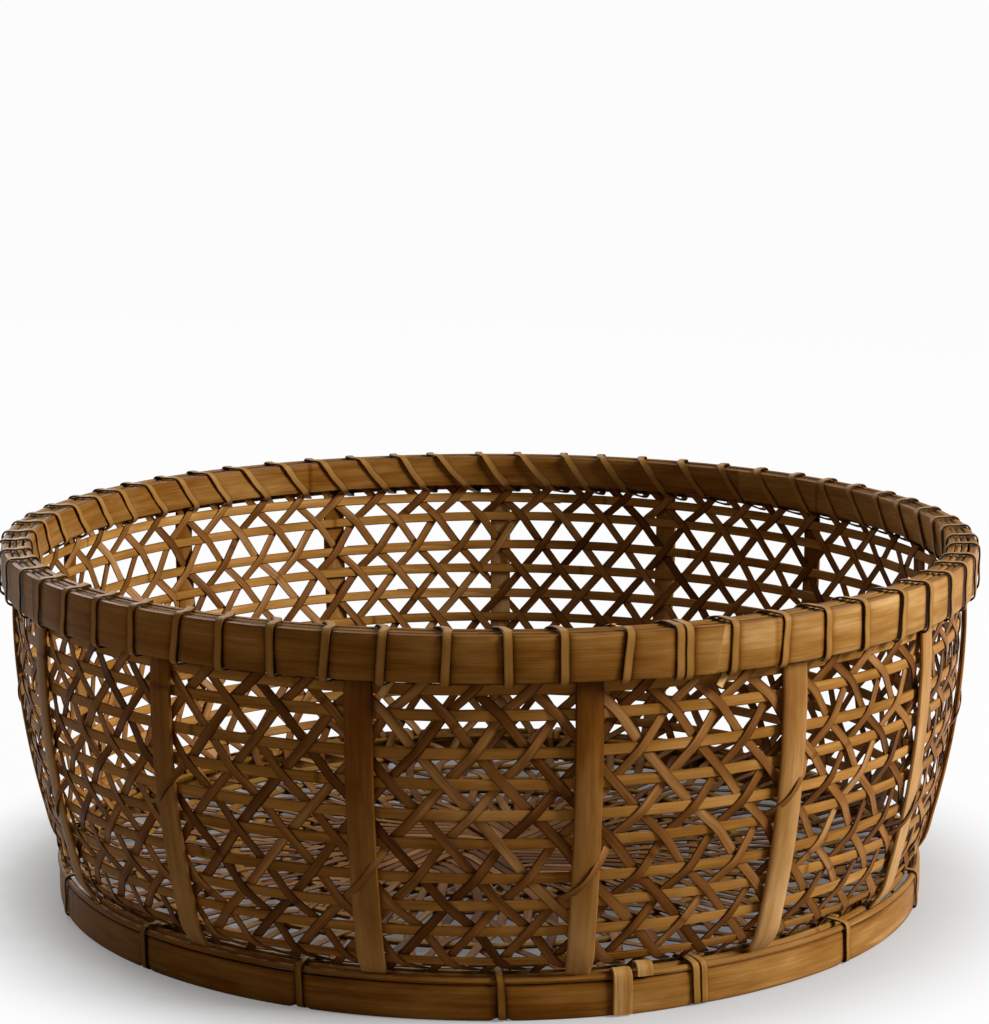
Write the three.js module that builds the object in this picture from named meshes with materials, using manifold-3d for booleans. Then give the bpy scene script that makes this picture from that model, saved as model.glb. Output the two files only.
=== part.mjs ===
// Open-work rattan fruit bowl: cane strands laid in two slanting directions over hoops and
// base rings, carried by upright stakes between a lashed rim and a tied foot band.
// Millimetres, +Z up. The origin lies on the table under the middle, and the front faces -Y.

import * as THREE from 'three';
import { mergeVertices } from 'three/addons/utils/BufferGeometryUtils.js';
import Module from 'manifold-3d';

const wasm = await Module();
wasm.setup();

// Overall sizes
const bowlHeight = 147.3; // table to the top edge of the rim bands
const rimRadius = 200; // outer face of the rim
const footRadius = 180.3; // outer face of the foot
const clearance = 0.3; // between pieces that touch on the real bowl

// Rim: a flat band outside, a lower one inside, and thin reeds in the groove between them
const rimBandHeight = 17.4;
const rimBandThickness = 3.6;
const rimInnerHeight = 14;
const rimInnerThickness = 3;
const rimGroove = 5.2;
const rimOverhang = 3.1; // how far the outer band stands proud of the stakes
const reedCount = 2;
const reedWidth = 1.9;
const reedDrop = 0.8; // reeds lie this far below the top edge
const tuckDepth = 2; // stakes and strands end this far below the reeds
const lashWidth = 2.2;
const lashThickness = 0.8;

// Foot band and its ties
const footBandHeight = 15.9;
const footBandThickness = 3.1;
const tieWidth = 2.4;
const tieThickness = 0.8;

// Upright stakes, shaved thinner where they tuck behind the rim and foot bands
const strandsPerStake = 4;
const stakeWidth = 10;
const stakeThickness = 2.2;
const stakeEndThickness = 1.2;
const stakeFootEnd = 7; // height of the lower ends inside the foot band
const firstStakeAngle = -80.4; // degrees, from +X towards +Y

// Wall hoops
const hoopCount = 10;
const hoopWidth = 4.3;
const hoopThickness = 1.8;
const topHoopDrop = 3.6; // rim band down to the middle of the top hoop
const lowHoopRise = 7.1; // foot band up to the middle of the lowest hoop
const bellyDrop = 31.3; // rim top down to where the wall stands upright
const wallFlare = 2.6; // stakes past the foot band's face at the lowest hoop

// Base rings, and the stouter ring in the corner between base and wall
const baseHeight = 10.5; // table to the middle of the base
const ringCount = 5;
const ringWidth = 3.2;
const ringThickness = 2;
const hubMargin = 8.3; // hub's corners to the first ring
const cornerThickness = 2.6;
const cornerInset = 11.4; // foot's face to the middle of the corner ring
const cornerRise = 3.5;

// Strands: six arms lie round the hub, and each strand crosses it and climbs both sides
const armCount = 6;
const strandsPerArm = 10;
const strandWidth = 4.3;
const strandThickness = 0.8;
const hubPitch = 4.5; // between strands in the hub, where they lie side by side
const hubHole = 3.2; // middle of the hub to its first strand
const rootOverlap = 2; // strands start this far inside the hub's edge

// Facets
const bandSegments = 40;
const hoopSegments = 30;
const ringSegments = 24;
const wallSteps = 3; // straight lengths of a strand on the wall
const stakeSteps = 4; // straight lengths of a stake on the wall

// Angles
const strandCount = armCount * strandsPerArm;
const strandPitch = 360 / strandCount;
const rowTurn = strandPitch / 2; // strands lean half a pitch from row to row
const radians = THREE.MathUtils.degToRad;
const facetSag = (radius, span) => radius * (1 - Math.cos(radians(span) / 2));
const bandSag = facetSag(rimRadius, 360 / bandSegments);
const hoopSag = facetSag(rimRadius, 360 / hoopSegments);

// Rows run outwards: the base rings, the corner ring, then the hoops up the wall
const cornerRow = ringCount + 1;
const lowRow = cornerRow + 1;
const topRow = cornerRow + hoopCount;

// Heights in the rim
const rimBottom = bowlHeight - rimBandHeight;
const innerBandBottom = bowlHeight - rimInnerHeight;
const reedTop = bowlHeight - reedDrop;
const tuckTop = reedTop - reedWidth - tuckDepth;

// Heights of the hoops
const lowHoopHeight = footBandHeight + lowHoopRise;
const topHoopHeight = rimBottom - topHoopDrop;
const hoopPitch = (topHoopHeight - lowHoopHeight) / (hoopCount - 1);
const rowAt = (height) => lowRow + (height - lowHoopHeight) / hoopPitch;

// Wall: upright at the belly, and curving in towards the foot
const bellyHeight = bowlHeight - bellyDrop;
const bellyRadius = rimRadius - rimOverhang;
const lowRadius = footRadius + wallFlare;
const curveHeight = bellyHeight - lowHoopHeight;
const curveDepth = bellyRadius - lowRadius;

const curveSag = (length) => (Math.abs(curveDepth) / 4) * (length / curveHeight) ** 2;

// Flat sides of the strands from the middle of the hoops and rings that they lie on.
// Strands and stakes are straight between their steps, so those outside dip towards the hoops there.
const passRow = rowAt(rimBottom - clearance - lashThickness / 2);
const stepRows = (passRow - lowRow) / wallSteps;
const strandSag = facetSag(rimRadius, stepRows * rowTurn) + curveSag(stepRows * hoopPitch);
const outerOffset = hoopThickness / 2 + clearance + strandSag;
const innerOffset = hoopThickness / 2 + clearance + hoopSag;
const ringOffset = ringThickness / 2 + clearance;
const cornerOffset = (cornerThickness + hoopSag) / Math.SQRT2 + clearance;
const stakeBend = topHoopHeight - hoopWidth; // a stake leans in to the rim above this
const stakeSag = curveSag((stakeBend - lowHoopHeight) / stakeSteps);
const stakeOffset = outerOffset + strandThickness + clearance + stakeSag;

function hoopRadius(height) {
  const below = Math.max(0, bellyHeight - height) / curveHeight;
  return bellyRadius - curveDepth * below ** 2 - stakeThickness - stakeOffset;
}

function wallSlope(height) {
  return (2 * curveDepth * Math.max(0, bellyHeight - height)) / curveHeight ** 2;
}

// Radii in the rim's groove, from its outer side to its inner side
const flatInside = (radius) => Math.sqrt((radius - bandSag - clearance) ** 2 - (stakeWidth / 2) ** 2);
const grooveOuter = rimRadius - rimBandThickness;
const grooveInner = grooveOuter - rimGroove;
const stakeTopFace = flatInside(grooveOuter) - stakeEndThickness;
const outerTuck = stakeTopFace - clearance - strandThickness;
const innerTuck = outerTuck - 2 * clearance;

// Radii in the foot
const footInner = footRadius - footBandThickness;
const stakeFootFace = flatInside(footInner) - stakeEndThickness;
const cornerRadius = footRadius - cornerInset;
const cornerHeight = baseHeight + cornerRise;

// Hub: a hexagon of the six arms, each with its strands side by side
const hubRamp = 0.46 * hubHole; // half the run in which a strand dips under the next arm
const hubOuter = hubHole + strandsPerArm * hubPitch;
const hubApothem = hubOuter + hubRamp + clearance;
const hubRadius = hubApothem / Math.cos(Math.PI / armCount);
const firstRing = hubRadius + hubMargin;
const ringPitch = (cornerRadius - firstRing) / ringCount;
const ringRadius = (row) => firstRing + (row - 1) * ringPitch;

// The strands cross behind every stake at the top hoop
const armPhase = firstStakeAngle + rowTurn - rowTurn * topRow;
const stakePitch = strandsPerStake * strandPitch;
const stakeCount = Math.floor(strandCount / strandsPerStake);

const polar = (radius, angle, height) => new THREE.Vector3(
  radius * Math.cos(radians(angle)), radius * Math.sin(radians(angle)), height);

// Finishes
const finish = (color, roughness) => new THREE.MeshStandardMaterial({ color, roughness, metalness: 0 });
const bandCane = finish(0x8a6230, 0.45);
const reedCane = finish(0x9a7038, 0.5);
const lashCane = finish(0xa0783e, 0.45);
const stakeCane = finish(0x83562d, 0.5);
const hoopCane = finish(0x94662f, 0.5);
const ringCane = finish(0x705025, 0.55);
const strandCane = finish(0x75492a, 0.5);

const bowl = new THREE.Group();

function add(name, geometry, material, turn = 0) {
  const mesh = new THREE.Mesh(geometry, material);
  mesh.name = name;
  mesh.rotation.z = radians(turn);
  bowl.add(mesh);
}

// Body through sections of equal point counts, closed at both ends
function loft(sections) {
  const count = sections[0].length;
  const index = [];
  for (let s = 0; s + 1 < sections.length; s++) {
    for (let i = 0; i < count; i++) {
      const [a, b] = [s * count + i, s * count + (i + 1) % count];
      index.push(a, b, b + count, a, b + count, a + count);
    }
  }
  const last = (sections.length - 1) * count;
  for (let i = 1; i + 1 < count; i++) {
    index.push(0, i + 1, i, last, last + i, last + i + 1);
  }
  const points = sections.flat();
  const geometry = new THREE.BufferGeometry().setFromPoints(points);
  geometry.setIndex(signedVolume(points, index) < 0 ? index.reverse() : index);
  return geometry;
}

function signedVolume(points, index) {
  let volume = 0;
  for (let i = 0; i < index.length; i += 3) {
    const [a, b, c] = [points[index[i]], points[index[i + 1]], points[index[i + 2]]];
    volume += a.dot(b.clone().cross(c)) / 6;
  }
  return volume;
}

// Split cane: flat on its inner side and ridged on the other
function caneSection(middle, across, rise, width) {
  const half = across.clone().setLength(width / 2);
  return [middle.clone().sub(half), middle.clone().add(half), middle.clone().add(rise)];
}

// Ring about the bowl's axis from a closed profile of [radius, height] points
function ring(profile) {
  return (segments) => {
    const points = [...profile, profile[0]].map(([radius, height]) => new THREE.Vector2(radius, height));
    return new THREE.LatheGeometry(points, segments).rotateX(Math.PI / 2);
  };
}

const flatRing = (outer, thickness, bottom, top) => ring([
  [outer, bottom], [outer, top], [outer - thickness, top], [outer - thickness, bottom]]);

// Joining and cutting
function solidOf(geometry) {
  const bare = geometry.clone();
  bare.deleteAttribute('normal');
  bare.deleteAttribute('uv');
  const merged = mergeVertices(bare, 1e-4);
  return new wasm.Manifold(new wasm.Mesh({
    numProp: 3,
    vertProperties: new Float32Array(merged.attributes.position.array),
    triVerts: new Uint32Array(merged.index.array),
  }));
}

function geometryOf(solid) {
  const mesh = solid.getMesh();
  const geometry = new THREE.BufferGeometry();
  geometry.setAttribute('position', new THREE.BufferAttribute(mesh.vertProperties, 3));
  geometry.setIndex(new THREE.BufferAttribute(mesh.triVerts, 1));
  return geometry;
}

// Rim bands and reeds
function buildRim() {
  add('rim_outer_band', flatRing(rimRadius, rimBandThickness, rimBottom, bowlHeight)(bandSegments), bandCane);
  add('rim_inner_band', flatRing(grooveInner, rimInnerThickness, innerBandBottom, bowlHeight)(bandSegments),
    bandCane);
  for (let i = 0; i < reedCount; i++) {
    const middle = grooveInner + (rimGroove * (i + 0.5)) / reedCount;
    const reed = ring([
      [middle + reedWidth / 2, reedTop - reedWidth], [middle, reedTop], [middle - reedWidth / 2, reedTop - reedWidth]]);
    add(`rim_reed_${i + 1}`, reed(bandSegments), reedCane);
  }
}

// One strip of cane winds round the rim: down the outside, in between the strands, up the inside
function buildRimLashing() {
  const outside = rimRadius + clearance;
  const inside = grooveInner - rimInnerThickness - bandSag - clearance;
  const above = bowlHeight + clearance;
  const below = rimBottom - clearance;
  const corner = (radius, height, angle, out, up) => {
    const rise = polar(out, angle, up).multiplyScalar(lashThickness);
    return caneSection(polar(radius, angle, height), polar(1, angle + 90, 0), rise, lashWidth);
  };
  const sections = [];
  for (let i = 0; i < strandCount; i++) {
    const angle = firstStakeAngle + (i + 0.5) * strandPitch;
    sections.push(
      corner(outside, above, angle, 1, 1),
      corner(outside, below, angle, 1, -1),
      corner(inside, below, angle, -1, -1),
      corner(inside, above, angle + rowTurn, -1, 1));
  }
  add('rim_lashing', loft(sections), lashCane);
}

// Ties sit midway between two crossings of the strands at the corner ring
const tieShift = strandPitch * (hoopCount % 2 ? 1 : 1.5);
const tieAngle = (i) => firstStakeAngle - tieShift + i * stakePitch;

// Foot band, notched under each tie so that it stands on the table by itself
function buildFootBand() {
  let band = solidOf(flatRing(footRadius, footBandThickness, 0, footBandHeight)(bandSegments));
  const depth = tieThickness + 2 * clearance;
  const notch = new THREE.BoxGeometry(4 * footBandThickness, tieWidth + 2 * clearance, 2 * depth);
  notch.translate(footRadius, 0, 0);
  for (let i = 0; i < stakeCount; i++) {
    band = band.subtract(solidOf(notch.clone().rotateZ(radians(tieAngle(i)))));
  }
  add('foot_band', geometryOf(band), bandCane);
}

// Outline of a convex loop moved outwards by a distance
function grown(outline, distance) {
  const shifted = outline.map((from, i) => {
    const to = outline[(i + 1) % outline.length];
    const along = to.clone().sub(from).normalize();
    return { from: from.clone().add(new THREE.Vector2(along.y, -along.x).multiplyScalar(distance)), along };
  });
  return shifted.map((edge, i) => {
    const before = shifted[(i + shifted.length - 1) % shifted.length];
    const step = edge.from.clone().sub(before.from).cross(edge.along) / before.along.cross(edge.along);
    return before.from.clone().addScaledVector(before.along, step);
  });
}

// Each tie loops round the foot band and the corner ring
function buildFootTies() {
  const outside = footRadius + clearance;
  const inside = cornerRadius - cornerThickness / 2 - hoopSag - clearance;
  const top = Math.max(footBandHeight, cornerHeight + cornerThickness / 2) + clearance;
  const bottom = clearance + tieThickness;
  const loop = [
    [outside, bottom], [outside, top], [inside, top],
    [inside, cornerHeight - cornerThickness / 2], [footInner - bandSag - clearance, bottom],
  ].map(([radius, height]) => new THREE.Vector2(radius, height));
  const shape = new THREE.Shape(grown(loop, tieThickness));
  shape.holes.push(new THREE.Path(loop));
  const tie = new THREE.ExtrudeGeometry(shape, { depth: tieWidth, bevelEnabled: false });
  tie.translate(0, 0, -tieWidth / 2).rotateX(Math.PI / 2);
  for (let i = 0; i < stakeCount; i++) {
    add(`foot_tie_${String(i + 1).padStart(2, '0')}`, tie, lashCane, tieAngle(i));
  }
}

// Stake's side view: it follows the wall and tucks behind the rim and foot bands
function buildStakes() {
  const wallHeights = Array.from({ length: stakeSteps + 1 },
    (_, i) => THREE.MathUtils.lerp(lowHoopHeight, stakeBend, i / stakeSteps));
  const faces = [
    [stakeFootFace, stakeFootEnd, stakeEndThickness],
    [stakeFootFace, footBandHeight - clearance, stakeEndThickness],
    ...wallHeights.map((height) => [hoopRadius(height) + stakeOffset, height, stakeThickness]),
    [stakeTopFace, rimBottom - clearance, stakeEndThickness],
    [stakeTopFace, tuckTop, stakeEndThickness],
  ];
  const inner = faces.map(([face, height]) => new THREE.Vector2(face, height));
  const outer = faces.map(([face, height, thickness]) => new THREE.Vector2(face + thickness, height));
  const shape = new THREE.Shape([...outer, ...inner.reverse()]);
  const stake = new THREE.ExtrudeGeometry(shape, { depth: stakeWidth, bevelEnabled: false });
  stake.translate(0, 0, -stakeWidth / 2).rotateX(Math.PI / 2);
  for (let i = 0; i < stakeCount; i++) {
    add(`stake_${String(i + 1).padStart(2, '0')}`, stake, stakeCane, firstStakeAngle + i * stakePitch);
  }
}

// Half-round hoops with their flat side towards the inside, and facet corners where the strands cross
function buildHoops() {
  for (let i = 0; i < hoopCount; i++) {
    const height = lowHoopHeight + i * hoopPitch;
    const back = hoopRadius(height) - hoopThickness / 2;
    const lean = (wallSlope(height) * hoopWidth) / 2;
    const hoop = ring([
      [back - lean, height - hoopWidth / 2], [back + hoopThickness, height],
      [back + lean, height + hoopWidth / 2]]);
    const turn = firstStakeAngle + (hoopCount - 1 - i) * rowTurn;
    add(`wall_hoop_${String(i + 1).padStart(2, '0')}`, hoop(hoopSegments), hoopCane, turn);
  }
}

function buildBaseRings() {
  const under = baseHeight - ringThickness / 2;
  for (let row = 1; row <= ringCount; row++) {
    const middle = ringRadius(row);
    const baseRing = ring([
      [middle + ringWidth / 2, under], [middle, under + ringThickness], [middle - ringWidth / 2, under]]);
    add(`base_ring_${row}`, baseRing(ringSegments), ringCane);
  }
  const corner = flatRing(cornerRadius + cornerThickness / 2, cornerThickness,
    cornerHeight - cornerThickness / 2, cornerHeight + cornerThickness / 2);
  add('base_corner_ring', corner(hoopSegments), ringCane);
}

// Middle of the flat side of a strand at a row: side 1 runs inside the hoops and over the rings
function strandPlace(row, side) {
  const tuckRow = rowAt(innerBandBottom - clearance);
  if (row >= tuckRow) {
    return [side > 0 ? innerTuck : outerTuck, lowHoopHeight + (row - lowRow) * hoopPitch];
  }
  if (row >= lowRow) {
    const height = lowHoopHeight + (row - lowRow) * hoopPitch;
    return [hoopRadius(height) + (side > 0 ? -innerOffset : outerOffset), height];
  }
  if (row === cornerRow) {
    const reach = (side * cornerOffset) / Math.SQRT2;
    return [cornerRadius - reach, cornerHeight + reach];
  }
  return [ringRadius(row), baseHeight + side * ringOffset];
}

// One half of a strand, from the hub's edge to the rim, leaning half a pitch in each row
function strandHalf(index, side) {
  const wallRows = Array.from({ length: wallSteps + 1 },
    (_, i) => THREE.MathUtils.lerp(lowRow, passRow, i / wallSteps));
  const pastLastRing = ringCount + (ringWidth / 2 + clearance) / ringPitch;
  const tuckRows = side > 0 ? [rowAt(innerBandBottom - clearance)] : [];
  const rows = [
    Math.ceil(ringCount / 2), pastLastRing, cornerRow, ...wallRows, ...tuckRows, rowAt(tuckTop)];
  const start = side > 0 ? 0 : 180;
  const angleAt = (row) => start - side * ((index + 0.5) * strandPitch - row * rowTurn);
  const sectorMiddle = start - side * (180 / armCount);
  const root = hubApothem / Math.cos(radians(angleAt(0) - sectorMiddle)) - rootOverlap;
  const path = [
    polar(root, angleAt(0), baseHeight + side * ringOffset),
    ...rows.map((row) => {
      const [radius, height] = strandPlace(row, side);
      return polar(radius, angleAt(row), height);
    }),
  ];
  return loft(path.map((point, i) => {
    const along = path[Math.min(i + 1, path.length - 1)].clone().sub(path[Math.max(i - 1, 0)]);
    const away = strandNormal(point, i === 0 ? 0 : rows[i - 1], side);
    return caneSection(point, along.cross(away), away.setLength(strandThickness), strandWidth);
  }));
}

// Direction in which a strand's ridged side faces: up or down on the base, in or out on the wall
function strandNormal(point, row, side) {
  const inwards = new THREE.Vector3(-point.x, -point.y, 0).normalize();
  const up = new THREE.Vector3(0, 0, 1);
  if (row < cornerRow) return up.multiplyScalar(side);
  if (row === cornerRow) return inwards.add(up).normalize().multiplyScalar(side);
  return inwards.multiplyScalar(side);
}

// Part of an arm inside the hub: it steps down under the next arm, and again under the one after
function hubArm() {
  const slope = Math.tan(Math.PI / armCount);
  const ramp = hubRamp / Math.cos(Math.PI / armCount);
  const edge = (offset) => (hubApothem - offset * Math.sin(Math.PI / armCount)) / Math.cos(Math.PI / armCount);
  const stations = [
    [-1, (offset) => -edge(offset)], [-1, (offset) => -offset * slope - ramp],
    [0, (offset) => -offset * slope + ramp], [0, (offset) => offset * slope - ramp],
    [1, (offset) => offset * slope + ramp], [1, edge],
  ];
  const levelPitch = ringOffset + strandThickness / 2;
  const half = strandThickness / 2 - clearance / 3;
  return loft(stations.map(([level, reach]) => [
    [hubHole, -half], [hubOuter, -half], [hubOuter, half], [hubHole, half],
  ].map(([offset, rise]) => new THREE.Vector3(
    reach(offset), -offset, baseHeight + level * levelPitch + rise))));
}

// An arm's strands: up the inside of the wall on one side, up the outside on the other
function buildStrandArms() {
  let arm = solidOf(hubArm());
  for (let i = 0; i < strandsPerArm; i++) {
    arm = arm.add(solidOf(strandHalf(i, 1))).add(solidOf(strandHalf(i, -1)));
  }
  const geometry = geometryOf(arm);
  for (let k = 0; k < armCount; k++) {
    add(`strand_arm_${k + 1}`, geometry, strandCane, armPhase + (k * 360) / armCount);
  }
}

buildRim();
buildRimLashing();
buildFootBand();
buildFootTies();
buildStakes();
buildHoops();
buildBaseRings();
buildStrandArms();

export default bowl;
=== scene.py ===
"""Looks of an open-work rattan fruit bowl.

Every piece is cut as straight cane, shaped in section, and bent along the run that it takes in
the bowl. Metres, +Z up, the front faces -Y, and angles run from +X towards +Y.
"""
import math
import random
from itertools import pairwise
from typing import NamedTuple

import bmesh
import bpy
from mathutils import Matrix, Vector
from mathutils.geometry import interpolate_bezier


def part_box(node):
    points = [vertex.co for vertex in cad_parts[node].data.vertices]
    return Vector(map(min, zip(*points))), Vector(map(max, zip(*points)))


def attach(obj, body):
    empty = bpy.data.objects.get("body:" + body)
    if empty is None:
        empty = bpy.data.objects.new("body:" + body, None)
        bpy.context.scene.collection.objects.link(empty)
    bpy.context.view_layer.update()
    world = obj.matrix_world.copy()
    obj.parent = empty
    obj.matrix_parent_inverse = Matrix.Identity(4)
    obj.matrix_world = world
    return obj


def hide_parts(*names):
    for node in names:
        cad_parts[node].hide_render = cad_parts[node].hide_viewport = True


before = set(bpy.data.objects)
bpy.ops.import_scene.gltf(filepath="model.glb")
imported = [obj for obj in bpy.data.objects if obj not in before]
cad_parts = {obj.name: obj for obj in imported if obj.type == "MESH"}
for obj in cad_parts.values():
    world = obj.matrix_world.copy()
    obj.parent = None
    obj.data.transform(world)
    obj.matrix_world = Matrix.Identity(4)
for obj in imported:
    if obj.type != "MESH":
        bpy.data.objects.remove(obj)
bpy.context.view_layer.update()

MM = 0.001
DEG = math.pi / 180
TURN = 2 * math.pi
UP = Vector((0, 0, 1))
hand = random.Random(29)  # the small unevenness of work done by hand

UV_MAP = "cane"  # metres along the cane, and -1 to 1 across it
TONE = "tone"  # how light the cane is, mostly 0 to 1
DARKENING = "soil"  # how much darker the cane is made, up to 1, or below 0 how much paler: painted shade beside strips bound over a band, painted light before the rim's splice, and darker foot band edges
LOT_GAP = 20  # metres of grain from tone 0 to tone 1, so that no two lengths are alike
SHARP = 40 * DEG  # edges that turn further than this stay sharp


# Places that the frame gives

class Reach(NamedTuple):
    """Radii and heights that a ring or band spans, with the middle and size of its section."""
    inner: float
    outer: float
    bottom: float
    top: float

    @property
    def radius(self):
        return (self.inner + self.outer) / 2

    @property
    def height(self):
        return (self.bottom + self.top) / 2

    @property
    def deep(self):
        return self.outer - self.inner

    @property
    def tall(self):
        return self.top - self.bottom


def reach(node):
    """Radii and heights that a CAD node spans."""
    spots = [vertex.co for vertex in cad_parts[node].data.vertices]
    radii = [spot.xy.length for spot in spots]
    heights = [spot.z for spot in spots]
    return Reach(min(radii), max(radii), min(heights), max(heights))


def bearing(node):
    """Angle at which a CAD node stands round the bowl."""
    low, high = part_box(node)
    return math.atan2(low.y + high.y, low.x + high.x)


def numbered(stem, count):
    return [f"{stem}_{i + 1:02d}" for i in range(count)]


HOOPS = numbered("wall_hoop", 10)
STAKES = numbered("stake", 15)
TIES = numbered("foot_tie", 15)
RINGS = [f"base_ring_{i + 1}" for i in range(5)]
REEDS = [f"rim_reed_{i + 1}" for i in range(2)]
ARMS = [f"strand_arm_{i + 1}" for i in range(6)]

rim = reach("rim_outer_band")
lining = reach("rim_inner_band")
foot = reach("foot_band")
corner_ring = reach("base_corner_ring")
stake_angles = [bearing(node) for node in STAKES]
tie_angles = [bearing(node) for node in TIES]

# Sizes of the cane
STRAND_WIDTH, STRAND_DEPTH = 4.3 * MM, 0.6 * MM
HOOP_WIDTH, HOOP_DEPTH = 4.3 * MM, 1.2 * MM
STAKE_WIDTH, STAKE_DEPTH, STAKE_END_DEPTH = 10 * MM, 2.2 * MM, 1.2 * MM
RING_WIDTH, RING_DEPTH, CORNER_DEPTH = 4.2 * MM, 1.8 * MM, 2.6 * MM
LASH_WIDTH, LASH_DEPTH, TAIL_DEPTH = 3.4 * MM, 0.8 * MM, 0.9 * MM
TIE_WIDTH, TIE_DEPTH = 3.2 * MM, 0.7 * MM
FOOT_DEPTH, STRAP_DEPTH = 3.1 * MM, 1.1 * MM
REED_WIDTH = 2.4 * MM
FIT = 0.2 * MM  # between canes that press on each other

# Ends of rings and bands, which lap over their own beginning
END_DEPTH = 0.35  # share of its depth that a pared end keeps
END_NARROWING = 0.4  # share of its width that an end loses where the two lie one above the other
SLANT_RUN = 4 * DEG  # run in which a slanting cut leans over
HOOP_LAP, RING_LAP, BAND_LAP, REED_LAP = 15 * DEG, 20 * DEG, 9 * DEG, 8 * DEG
HOOP_BESIDE = 1.2 * MM  # a hoop's ends lie this far above and below its middle
RING_PROUD, BAND_PROUD, REED_PROUD = 0.3 * MM, 0.5 * MM, 0.2 * MM  # how far the outer end stands out

# Steps of the runs
RING_STEP, FOOT_REED_STEP, BAND_STEP = 2.5 * DEG, 1.5 * DEG, 1.25 * DEG
FINE_STEP = 0.2 * DEG  # for bands with marks beside their strips
HUB_STEPS, HALF_ROW_STEPS = 20, 4  # across the hub, and in half a row of the shell
STAKE_STEPS, STRIP_STEPS, TAIL_STEPS = 4, 3, 4  # from knot to knot

# The weave
STRANDS_PER_ARM = 10
STRAND_COUNT = len(ARMS) * STRANDS_PER_ARM
STRAND_PITCH = TURN / STRAND_COUNT
ROW_TURN = STRAND_PITCH / 2  # strands lean half a pitch from row to row
CORNER_ROW = len(RINGS) + 1
LOW_ROW = CORNER_ROW + 1
TOP_ROW = CORNER_ROW + len(HOOPS)
TUCK_ROW = TOP_ROW + 1.5  # strands end here, inside the rim
TUCK_INSET = 0.6 * MM  # inwards from the middle of the rim's groove to the shell there
TUCK_STAND = 0.3 * MM  # how far strands stand off the shell there
WALL_SPREAD = 1.7 * MM  # middle of the woven wall, outside that of the CAD hoops
HUB_HOLE, HUB_PITCH = 3.2 * MM, 4.5 * MM
HUB_RAMP = 4 * MM  # half the run in which a strand dips under the next arm
WALL_SHARE, HUB_SHARE, HOLD_SHARE = 0.92, 1.03, 0.5  # of a strand's full width, the last over a stake
HOLD_ROWS = (10, 12)  # rows at which a strand holds down a stake, by turns
HOLD_DROP = 2.4 * MM  # how much lower such a strand lies for each row away
HOOP_LIFTS = (0, 0.1, -1.0, -1.3, 0.4, 0, 0.5, 0.1, 2.2, 0.4)  # millimetres off an even spacing

arm_phase = stake_angles[0] + ROW_TURN - ROW_TURN * TOP_ROW

# Stakes
STAKE_STAND = 3.6 * MM  # their bark, outside the middle of the woven wall
FOOT_TOUCHES = (7 * MM, 11 * MM, foot.top - 2 * MM)  # heights at which their bark lies on the foot band
RIM_TOUCHES = (rim.bottom - 1 * MM, rim.height, 142.5 * MM)  # and on the rim
THIN_BELOW, THIN_ABOVE = foot.top + 2 * MM, rim.bottom  # past these heights they thin to fit behind a band
THIN_RUN = 5 * MM  # half the run in which they thin
THIN_NARROWING = 0.12  # share of their width that they lose by it
BROAD_STAKES = {1: 1.18, 14: 1.1}  # share of the full width, by index
STAKE_TOP_SHADES = (1.3, 0.6, 0.5, 1.1, 1.3)  # how much darker a stake is painted at its top, by turns: painted shade under the rim


class Splice(NamedTuple):
    """Where a band's outer end shows, how far its cut leans, and which way round the band runs."""
    angle: float
    slant: float
    way: int = 1


# Rim
RIM_SPLICE, LINING_SPLICE = Splice(-66.9 * DEG, -1.7 * MM), Splice(60 * DEG, -4 * MM)
# The rim's outer band darkens along its run, from 0.78 on the right to 0.42 at the front: painted light
# where the key lamp falls, and painted shade towards the front.
RIM_LIGHT_TONES, LINING_TONES = (0.78, 0.42), (0.4, 0.65)
SPLICE_LIGHT, SPLICE_LIGHT_RUN = 0.36, 9 * DEG  # how much light is painted on the rim before its splice, and over what run
RIM_BULGE = 0.35 * MM  # how far the rim band swells between wraps
SWELL_RUN, STRIP_SHADE_RUN = 4 * MM, 0.8 * MM  # from a strip to where the band has swollen, and to where the painted shade beside it has faded
REED_LIFT = 0.25 * MM  # middle of a reed, above that of the CAD reed
DOUBLED_WRAP, DOUBLED_TIE = 1, 1  # indexes of those that go round twice
LASH_TONE, TAIL_TONE = 0.6, 1.0
TAIL_ANGLES = (-65.9 * DEG, -101.5 * DEG)
TAIL_ROUTE = (  # millimetres out and up, and degrees round
    (195.3, 136, 1.3), (195.6, 131, 0.8), (196, 127, 0.1), (196.4, 124.2, -0.4))

# Foot
FOOT_SPLICE = Splice(-76 * DEG, 0.5 * MM, way=-1)
FOOT_TONES, FOOT_REED_TONES, STRAP_TONE = (0.35, 0.65), (0.6, 0.4), 0.75
EDGE_DARKNESS, EDGE_DARKNESS_RUN = 0.8, 0.9 * MM  # how much darker along the band's edges, and over what run
NOTCH_DEPTH, NOTCH_HALF, NOTCH_HEIGHT = TIE_DEPTH + 2 * FIT, TIE_WIDTH, 3 * MM
TIE_OVERLAP = 3  # knots for which a tie goes on past its beginning
foot_band = foot._replace(inner=foot.outer - FOOT_DEPTH, top=foot.top - REED_WIDTH)
FOOT_REEDS = (  # section, start and lap, first behind the stakes and then on the band's top edge
    (Reach(172.8 * MM, 175.6 * MM, 13.2 * MM, 16.0 * MM), -126 * DEG, 12 * DEG),
    (Reach(foot.outer - 2.9 * MM, foot.outer - 0.3 * MM, foot_band.top - FIT, foot.top),
     -76.8 * DEG, 3 * DEG),
)
STRAP_LEAN = 0.3  # how far the bark of strap and plug faces up, for one outwards
STRAPS = (  # strap over the splice, then plug beside it: angle, width, and millimetres out and up
    (-75.3 * DEG, 7.5 * MM,
     ((175.6, 9), (175.8, 15), (177.4, 17), (180, 17), (181.4, 15.2), (181.5, 8), (181.4, 0.6))),
    (-72.6 * DEG, 6.6 * MM,
     ((174.8, 12), (175.6, 17), (177.6, 19), (180, 18.8), (181.4, 17), (181.5, 14.6))),
)

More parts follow.
